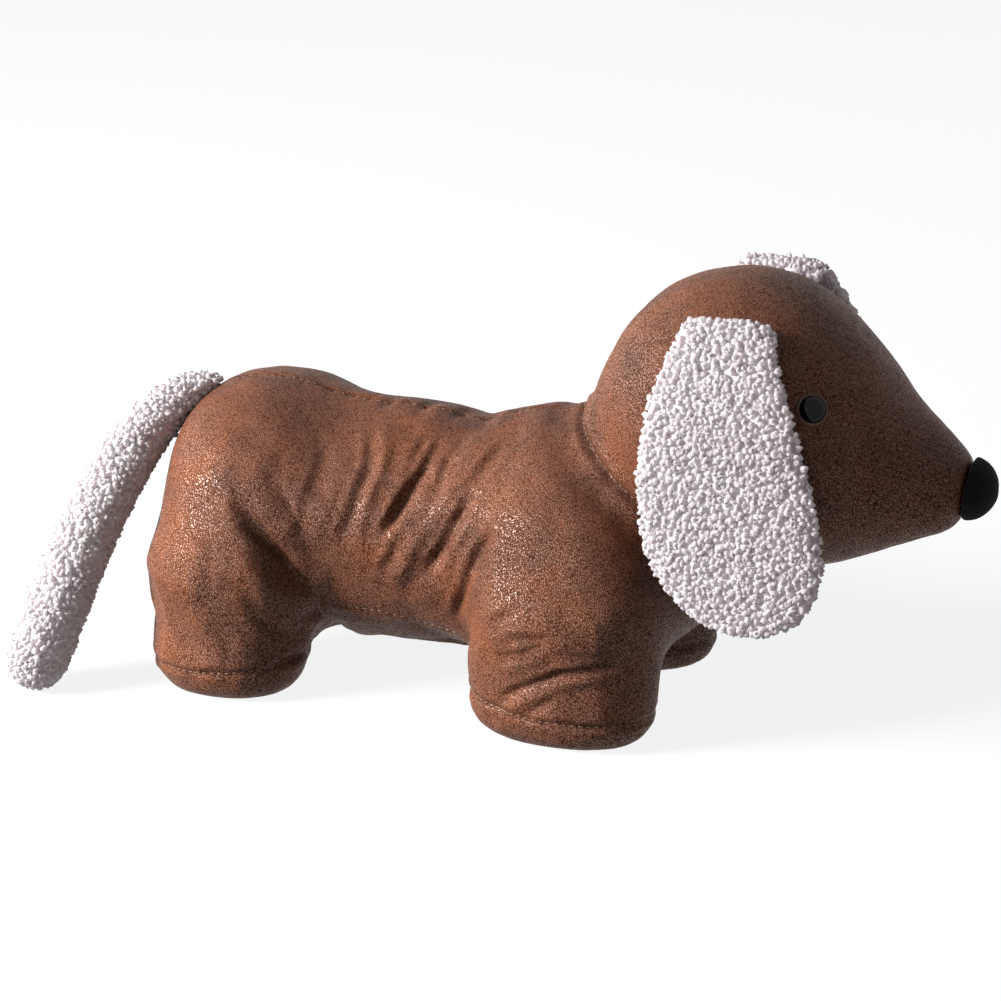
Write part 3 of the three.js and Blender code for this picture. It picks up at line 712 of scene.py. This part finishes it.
class DOORSTOP_OT_sew_cover(bpy.types.Operator):
    """Sew and stuff the cover of the trunk, the head and the four soles"""

    bl_idname = "door_stop.sew_cover"
    bl_label = "Sew Cover"

    def execute(self, context):
        cover = context.scene.door_stop_cover
        skin = joined_skin("cover", COVER_NODES, cover.grid)
        evened(skin, 8)
        points = points_of(skin.data)
        to_neck = (points - NECK_SEAM[0]) @ NECK_SEAM[1]
        held = np.exp(-((to_neck / (5 * MM)) ** 2))
        for seam_point, seam_axis, _, inside in sole_seams():
            near = np.array([inside(Vector(p)) for p in points])
            held = np.maximum(held, near * np.exp(-((((points - seam_point) @ seam_axis) / (4 * MM)) ** 2)))
        held[points[:, 2] < 3 * MM] = 1
        for spot in face_spots():
            held = np.maximum(held, np.exp(-((np.linalg.norm(points - spot, axis=1) / (9 * MM)) ** 2)))
        waist = np.exp(-(((points[:, 0] - WAIST[0] * MM) / (WAIST[1] * MM)) ** 2)) * (to_neck < -12 * MM)
        stuffed(skin, np.where(held > 0.5, 1, 0), 1 - waist, cover.slack, cover.give)
        evened(skin, 1)
        refined(skin, 2)
        self.press(skin, cover)

        tree = tree_of(skin)
        leather = rubbed_imitation_leather(cover)
        rows = self.stitch_rows(tree)
        pieces = [(cut_apart(skin, "head_cover", *NECK_SEAM, lambda p: p.x > 0.02), "head")]
        for seam_point, seam_axis, name, inside in sole_seams():
            pieces.append((cut_apart(skin, f"{name}_cover", seam_point, seam_axis, inside), name))
        skin.name = "trunk_cover"
        for piece, node in [(skin, "trunk"), *pieces]:
            sewn_on(piece, leather, "cover", node)
        sewn_on(stitches("cover_stitches", rows), polyester_thread(), "cover")
        return {"FINISHED"}

    def press(self, skin, cover):
        """Presses the folds, seams and small unevenness into the stuffed skin, and marks the painted shade of its
        folds and seams for the cover's colour.
        """
        points = points_of(skin.data)
        normals = normals_of(skin.data)
        tree = tree_of(skin)
        height = np.zeros(len(points))
        # Painted shade: how much darker the cover is made in the folds' valleys and along the seams' grooves.
        crease_shade = np.zeros(len(points))
        for side in SIDES.values():
            here = (points[:, 1] - MIDDLE) * side > 0
            chosen = points[here]
            for line, depth, width, lip in FOLDS:
                on_skin = seen_from_side(tree, line, side)
                change = fold_height(chosen, on_skin, depth * MM, width * MM, lip * MM)
                height[here] += change
                crease_shade[here] = np.maximum(crease_shade[here], np.clip(-change / (9 * MM), 0, 0.22))
            for (x, z), length, rise, swell in SWELLS:
                away = np.hypot((chosen[:, 0] - x * MM) / (length * MM), (chosen[:, 2] - z * MM) / (rise * MM))
                height[here] += swell * MM * np.exp(-(away ** 2)) * np.abs(normals[here, 1])
            for seed, line in enumerate((BELLY_SEAM, CHEEK_SEAM, NAPE_DART)):
                distance, along, _ = beside(chosen, seen_from_side(tree, line, side))
                ends = np.clip(8 * np.minimum(along, 1 - along), 0, 1)
                height[here] += ends * seam_height(chosen, distance, 0.35 * cover.seam_depth, seed)
                crease_shade[here] = np.maximum(crease_shade[here], 0.45 * ends * np.exp(-distance / (0.9 * MM)))
        to_neck = (points - NECK_SEAM[0]) @ NECK_SEAM[1]
        in_neck = points[:, 0] > 20 * MM
        height += in_neck * seam_height(points, np.abs(to_neck), 1.3 * cover.seam_depth, 3)
        reach = np.where(to_neck < 0, 7 * MM, 2.6 * MM)
        height -= in_neck * 1.8 * MM * np.exp(-((to_neck / reach) ** 2))
        crease_shade = np.maximum(crease_shade, in_neck * 0.7 * np.exp(-np.abs(to_neck) / (1.2 * MM)))
        for seam_point, seam_axis, _, inside in sole_seams():
            near = np.array([inside(Vector(p)) for p in points])
            distance = np.abs((points - seam_point) @ seam_axis)
            height += near * seam_height(points, distance, cover.seam_depth, 4)
            crease_shade = np.maximum(crease_shade, near * 0.6 * np.exp(-distance / (0.9 * MM)))
        back = seen_from_above(tree, range(*BACK_SEAM, 4))
        distance, along, _ = beside(points, back)
        height += seam_height(points, distance, 0.8 * cover.seam_depth, 5, gather=1.6)
        crease_shade = np.maximum(crease_shade, 0.5 * np.exp(-distance / (0.9 * MM)))
        for x in BACK_GATHERS:
            away = np.hypot((points[:, 0] - x * MM) / (3.4 * MM), distance / (9 * MM))
            height -= 1.3 * MM * np.exp(-(away ** 2))
        for spot in face_spots():
            away = np.linalg.norm(points - spot, axis=1)
            height -= 1.3 * MM * np.exp(-((away / (10 * MM)) ** 2))
        on_floor = points[:, 2] < 2.5 * MM
        height += np.where(on_floor, 0, 0.35 * MM * ripple(points, 17 * MM, 6) + 0.16 * MM * ripple(points, 6 * MM, 7))
        shaped = points + normals * height[:, None]
        shaped[:, 2] = np.maximum(shaped[:, 2], 0)
        move_to(skin.data, shaped)
        # The painted shade of the folds and seams goes with the skin to the cover's material.
        skin.data.attributes.new("crease_shade", "FLOAT", "POINT").data.foreach_set("value", crease_shade)

    def stitch_rows(self, tree):
        rows = [with_normals(tree, ring_on_plane(tree, NECK_MIDDLE, NECK_SEAM[1]))]
        for seam_point, seam_axis, _, _ in sole_seams():
            rows.append(with_normals(tree, ring_on_plane(tree, seam_point, seam_axis)))
        for side in SIDES.values():
            for line in (BELLY_SEAM, CHEEK_SEAM, NAPE_DART):
                x, z = np.array(line).T
                share = np.linspace(0, len(x) - 1, 60)
                fine = zip(np.interp(share, range(len(x)), x), np.interp(share, range(len(x)), z))
                rows.append(with_normals(tree, seen_from_side(tree, fine, side)))
        rows.append(with_normals(tree, seen_from_above(tree, np.arange(*BACK_SEAM, 1.5))))
        return rows


def sole_seams():
    """Each sole seam as a point, the direction down past it, the sole's name and the test of what it cuts."""
    found = []
    for leg, sizes in LEGS.items():
        for side_name, side in SIDES.items():
            y = MIDDLE + side * STANCE / 2
            tilt = math.radians(sizes["tilt"])
            point = Vector((sizes["x"], y, sizes["seam"]))
            axis = Vector((math.sin(tilt), 0, -math.cos(tilt)))

            def inside(p, sizes=sizes, y=y):
                across = abs(p.x - sizes["x"]) < sizes["half_length"], abs(p.y - y) < sizes["half_width"]
                return all(across) and p.z < FOOT_TOP

            found.append((point, axis, f"sole_{leg}_{side_name}", inside))
    return found


def towards(round_by, up_by):
    """The direction so many degrees round from the dog's right side and so many up."""
    turn, rise = math.radians(round_by), math.radians(up_by)
    return Vector((math.sin(turn) * math.cos(rise), -math.cos(turn) * math.cos(rise), math.sin(rise)))


def face_spots():
    """The middles of the two eyes."""
    spots = []
    for side in SIDES:
        low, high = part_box(f"eye_{side}")
        spots.append((low + high) / 2)
    return spots


def scattered(mesh, spacing, rng):
    """Spots on a mesh, no two closer than the spacing, with their outward directions."""
    mesh.calc_loop_triangles()
    points = points_of(mesh)
    normals = normals_of(mesh)
    corners = np.array([t.vertices for t in mesh.loop_triangles])
    a, b, c = points[corners[:, 0]], points[corners[:, 1]], points[corners[:, 2]]
    areas = np.linalg.norm(np.cross(b - a, c - a), axis=1) / 2
    tries = int(14 * areas.sum() / spacing ** 2)
    chosen = rng.choice(len(areas), tries, p=areas / areas.sum())
    u, v = rng.random(tries), rng.random(tries)
    over = u + v > 1
    u[over], v[over] = 1 - u[over], 1 - v[over]
    weights = np.stack([1 - u - v, u, v], 1)[:, :, None]
    spots = (points[corners[chosen]] * weights).sum(1)
    outward = (normals[corners[chosen]] * weights).sum(1)
    cells, found = {}, []
    around = list(np.ndindex(3, 3, 3))
    for index, (spot, cell) in enumerate(zip(spots.tolist(), np.floor(spots / spacing).astype(int).tolist())):
        near = (
            other
            for i, j, k in around
            for other in cells.get((cell[0] + i - 1, cell[1] + j - 1, cell[2] + k - 1), ())
        )
        if all(math.dist(spot, other) >= spacing for other in near):
            cells.setdefault(tuple(cell), []).append(spot)
            found.append(index)
    outward = outward[found]
    return spots[found], outward / np.linalg.norm(outward, axis=1, keepdims=True)


def loops(spots, outward, pile, rng, turns=8, sides=4):
    """Vertices and faces of one closed curl of yarn on each spot."""
    count = len(spots)
    axis = outward * 0.9 + rng.normal(size=(count, 3)) * 0.5
    axis /= np.linalg.norm(axis, axis=1, keepdims=True)
    first = np.cross(axis, rng.normal(size=(count, 3)))
    first /= np.linalg.norm(first, axis=1, keepdims=True)
    second = np.cross(axis, first)
    size = rng.uniform(0.82, 1.2, count)[:, None, None]
    phase = rng.uniform(0, math.tau, (count, 1, 1))
    t = np.linspace(0, math.tau, turns, endpoint=False)[None, :, None]
    s = np.linspace(0, math.tau, sides, endpoint=False)[None, None, :]
    radius = pile.loop * (1 + 0.22 * np.sin(2 * t + phase)) * size
    thick = pile.yarn * (1 + 0.18 * np.sin(3 * t + phase)) * size
    x = (radius + thick * np.cos(s)) * np.cos(t)
    y = 0.88 * (radius + thick * np.cos(s)) * np.sin(t)
    z = thick * np.sin(s) + 0.45 * pile.loop * size * np.sin(2 * t + 1.7 * phase)
    clumps = 0.4 * MM * ripple(spots, 4 * MM, 13)[:, None]
    middle = spots + outward * (clumps + 0.55 * pile.height * rng.uniform(0.8, 1.15, (count, 1)))
    points = (
        middle[:, None, None, :]
        + x[..., None] * first[:, None, None, :]
        + y[..., None] * second[:, None, None, :]
        + z[..., None] * axis[:, None, None, :]
    ).reshape(-1, 3)
    i, j = np.meshgrid(np.arange(turns), np.arange(sides), indexing="ij")
    quad = np.stack(
        [
            i * sides + j,
            ((i + 1) % turns) * sides + j,
            ((i + 1) % turns) * sides + (j + 1) % sides,
            i * sides + (j + 1) % sides,
        ],
        -1,
    ).reshape(-1, 4)
    faces = (quad[None] + (np.arange(count) * turns * sides)[:, None, None]).reshape(-1, 4)
    return points, faces


def pile_pad(name, node, pile, seed, grid=2.4 * MM):
    """A pad of looped pile: the CAD solid's form, drawn in by the pile's height, and covered in loops."""
    pad = joined_skin(name, (node,), grid, overlap=0)
    points = relaxed(points_of(pad.data), edges_of(pad.data), 6)
    move_to(pad.data, points)
    points = points - normals_of(pad.data) * pile.height
    move_to(pad.data, relaxed(points, edges_of(pad.data), 3))
    rng = np.random.default_rng(seed)
    spots, outward = scattered(pad.data, pile.spacing, rng)
    curl_points, curl_faces = loops(spots, outward, pile, rng)
    pad_points = points_of(pad.data)
    pad_faces = [tuple(p.vertices) for p in pad.data.polygons]
    first = len(pad_points)
    mesh = bpy.data.meshes.new(name)
    mesh.from_pydata(
        np.concatenate([pad_points, curl_points]).tolist(), [], pad_faces + (curl_faces + first).tolist()
    )
    slots = np.zeros(len(mesh.polygons), int)
    slots[: len(pad_faces)] = 1
    before, pad.data = pad.data, mesh
    bpy.data.meshes.remove(before)
    return pad, slots


def sewn_pile(context, name, node, seed):
    pile = context.scene.door_stop_pile
    pad, slots = pile_pad(name, node, pile, pile.seed + seed)
    yarn = bpy.data.materials.get("Looped acrylic yarn") or looped_yarn(pile)
    backing = bpy.data.materials.get("Knitted pile backing") or knitted_backing()
    sewn_on(pad, (yarn, backing), "pile", node)
    pad.data.polygons.foreach_set("material_index", slots)


class DOORSTOP_OT_sew_ears(bpy.types.Operator):
    """Sew the two flat ears of looped pile"""

    bl_idname = "door_stop.sew_ears"
    bl_label = "Sew Ears"

    def execute(self, context):
        for seed, side in enumerate(SIDES):
            sewn_pile(context, f"ear_pile_{side}", f"ear_{side}", seed)
        return {"FINISHED"}


class DOORSTOP_OT_sew_tail(bpy.types.Operator):
    """Sew the stuffed tail of looped pile"""

    bl_idname = "door_stop.sew_tail"
    bl_label = "Sew Tail"

    def execute(self, context):
        sewn_pile(context, "tail_pile", "tail", 5)
        return {"FINISHED"}


class DOORSTOP_OT_set_nose(bpy.types.Operator):
    """Cap the muzzle with the felt nose"""

    bl_idname = "door_stop.set_nose"
    bl_label = "Set Nose"

    def execute(self, context):
        nose = joined_skin("nose_felt", ("nose",), 1.6 * MM, overlap=0.1 * MM)
        evened(nose, 8)
        refined(nose, 1)
        points = points_of(nose.data)
        fuzz = 0.12 * MM * ripple(points, 1.1 * MM, 11) + 0.25 * MM * ripple(points, 6 * MM, 12)
        move_to(nose.data, points + normals_of(nose.data) * fuzz[:, None])
        sewn_on(nose, wool_felt(context.scene.door_stop_face), "felt", "nose")
        return {"FINISHED"}


def turned(name, profile, steps=48):
    """A turned piece from a profile of (radius, height), closed on its axis at both ends."""
    vertices = [(0, 0, profile[0][1])]
    faces = []
    for radius, height in profile:
        for n in range(steps):
            turn = math.tau * n / steps
            vertices.append((radius * math.cos(turn), radius * math.sin(turn), height))
    vertices.append((0, 0, profile[-1][1]))
    for n in range(steps):
        after = (n + 1) % steps
        faces.append((0, 1 + after, 1 + n))
        for ring in range(len(profile) - 1):
            a, b = 1 + ring * steps + n, 1 + ring * steps + after
            faces.append((a, b, b + steps, a + steps))
        last = 1 + (len(profile) - 1) * steps
        faces.append((len(vertices) - 1, last + n, last + after))
    mesh = bpy.data.meshes.new(name)
    mesh.from_pydata(vertices, [], faces)
    return new_object(name, mesh)


class DOORSTOP_OT_set_eyes(bpy.types.Operator):
    """Press the two button eyes into the head"""

    bl_idname = "door_stop.set_eyes"
    bl_label = "Set Eyes"

    def execute(self, context):
        face = context.scene.door_stop_face
        radius, dome = face.eye_radius, face.eye_dome
        tree = tree_of(bpy.data.objects["head_cover"])
        pupil = moulded_acrylic("Polished black acrylic", "0a0e0b", 0.1)
        rim = moulded_acrylic("Smoky brown acrylic", "9a8069", 0.25)
        for side, spot in zip(SIDES, face_spots()):
            seat, axis = tree.find_nearest(spot)[:2]
            turn = axis.to_track_quat("Z", "Y").to_matrix().to_4x4()
            stand = Matrix.Translation(seat) @ turn
            inner = 0.81 * radius
            edge = [(radius * 0.96, -1.4 * MM), (radius, -0.6 * MM), (radius, 0.3 * MM)]
            lip = [(radius - 0.25 * MM, 0.9 * MM), (radius - 0.6 * MM, 1.1 * MM)]
            bowl = [(inner + 0.2 * MM, 1.2 * MM), (inner, 1.1 * MM)]
            ring = turned(f"eye_rim_{side}", edge + lip + bowl)
            cap = [
                (inner * math.cos(math.radians(a)), 1.2 * MM + (dome - 1.2 * MM) * math.sin(math.radians(a)))
                for a in range(0, 90, 9)
            ]
            drop = turned(f"eye_button_{side}", [(inner, 0.6 * MM), *cap])
            for piece in (ring, drop):
                piece.data.transform(stand)
            sewn_on(ring, rim, "button", f"eye_{side}")
            sewn_on(drop, pupil, "button", f"eye_{side}")
        return {"FINISHED"}


class DOORSTOP_OT_set_stage(bpy.types.Operator):
    """Lay the floor and place the camera, the lights and the background"""

    bl_idname = "door_stop.set_stage"
    bl_label = "Set Stage"

    def execute(self, context):
        scene = context.scene
        stage = scene.door_stop_stage
        floor_mesh = bpy.data.meshes.new("floor")
        floor_mesh.from_pydata([(-4, -4, 0), (4, -4, 0), (4, 4, 0), (-4, 4, 0)], [], [(0, 1, 2, 3)])
        floor = new_object("floor", floor_mesh)
        floor.data.materials.append(self.pale_floor())
        camera = self.camera(scene)
        key = self.lamp("window_light", -57, 22, 1.5, 0.48, stage.key)
        fill = self.lamp("fill_light", -2, 26, 1.9, 0.12, stage.fill)
        self.room(scene, stage.sky)
        scene.view_settings.view_transform = "Standard"
        return {"FINISHED"}

    def pale_floor(self):
        """Painted white board: matte. What the camera sees of it is lifted to white, and keeps the shadow."""
        material, tree = new_material("Matte painted board")
        paint = add(tree, "ShaderNodeBsdfDiffuse", {"Color": (0.16, 0.16, 0.16, 1), "Roughness": 0.5})
        lift = add(tree, "ShaderNodeEmission", {"Color": (1, 1, 1, 1), "Strength": 0.87})
        both = add(tree, "ShaderNodeAddShader", None, paint.outputs[0], lift.outputs[0])
        pick = add(tree, "ShaderNodeMixShader", None, self.seen(tree), paint.outputs[0], both.outputs[0])
        return coated(material, pick.outputs[0])

    def seen(self, tree):
        """1 for what the camera sees, straight or in a gloss or through glass."""
        path = add(tree, "ShaderNodeLightPath")
        total = path.outputs["Is Camera Ray"]
        for name in ("Is Glossy Ray", "Is Transmission Ray"):
            total = add(tree, "ShaderNodeMath", {"operation": "MAXIMUM"}, total, path.outputs[name]).outputs[0]
        return total

    def camera(self, scene):
        """The photograph's view of the dog."""
        back = towards(VIEW["round"], VIEW["up"])
        turn = math.radians(VIEW["round"])
        right = Vector((math.cos(turn), math.sin(turn), 0))
        data = bpy.data.cameras.new("camera")
        data.sensor_width = VIEW["sensor"]
        data.lens = VIEW["sensor"] * VIEW["focal_pixels"] / VIEW["pixels"]
        data.clip_end = 20
        made = bpy.data.objects.new("camera", data)
        scene.collection.objects.link(made)
        stand = Matrix((right, back.cross(right), back)).transposed().to_4x4()
        made.matrix_world = Matrix.Translation(VIEW_TARGET + back * VIEW["distance"]) @ stand
        scene.camera = made
        return made

    def lamp(self, name, round_by, up_by, distance, size, power):
        data = bpy.data.lights.new(name, "AREA")
        data.shape = "DISK"
        data.size = size
        data.energy = power
        made = bpy.data.objects.new(name, data)
        bpy.context.scene.collection.objects.link(made)
        away = towards(round_by, up_by)
        made.location = LIT_SPOT + away * distance
        made.rotation_euler = away.to_track_quat("Z", "Y").to_euler()
        return made

    def room(self, scene, strength):
        """An even pale room, which the camera sees as white."""
        world = bpy.data.worlds.new("room")
        scene.world = world
        world.use_nodes = True
        tree = world.node_tree
        tree.nodes.clear()
        even = add(tree, "ShaderNodeBackground", {"Color": (1, 1, 1, 1), "Strength": strength})
        white = add(tree, "ShaderNodeBackground", {"Color": (1, 1, 1, 1), "Strength": 1.0})
        pick = add(tree, "ShaderNodeMixShader", None, self.seen(tree), even.outputs[0], white.outputs[0])
        add(tree, "ShaderNodeOutputWorld", None, pick.outputs[0])


class DOORSTOP_PT_panel(bpy.types.Panel):
    bl_idname = "DOORSTOP_PT_panel"
    bl_label = "Stuffed Door Stop"
    bl_space_type = "VIEW_3D"
    bl_region_type = "UI"
    bl_category = "Door Stop"

    def draw(self, context):
        for group in SETTINGS:
            settings = getattr(context.scene, group)
            box = self.layout.box()
            for name in settings.__annotations__:
                box.prop(settings, name)
        for operator in STEPS:
            self.layout.operator(operator.bl_idname)


SETTINGS = {
    "door_stop_cover": DoorStopCover,
    "door_stop_pile": DoorStopPile,
    "door_stop_face": DoorStopFace,
    "door_stop_stage": DoorStopStage,
}
STEPS = (
    DOORSTOP_OT_sew_cover,
    DOORSTOP_OT_sew_ears,
    DOORSTOP_OT_sew_tail,
    DOORSTOP_OT_set_nose,
    DOORSTOP_OT_set_eyes,
    DOORSTOP_OT_set_stage,
)
CLASSES = (*SETTINGS.values(), *STEPS, DOORSTOP_PT_panel)


def register():
    for each in CLASSES:
        bpy.utils.register_class(each)
    for name, group in SETTINGS.items():
        setattr(bpy.types.Scene, name, PointerProperty(type=group))


def unregister():
    for name in SETTINGS:
        delattr(bpy.types.Scene, name)
    for each in reversed(CLASSES):
        bpy.utils.unregister_class(each)


def main():
    register()
    bpy.ops.door_stop.sew_cover()
    bpy.ops.door_stop.sew_ears()
    bpy.ops.door_stop.sew_tail()
    bpy.ops.door_stop.set_nose()
    bpy.ops.door_stop.set_eyes()
    bpy.ops.door_stop.set_stage()


if __name__ == "__main__":
    main()
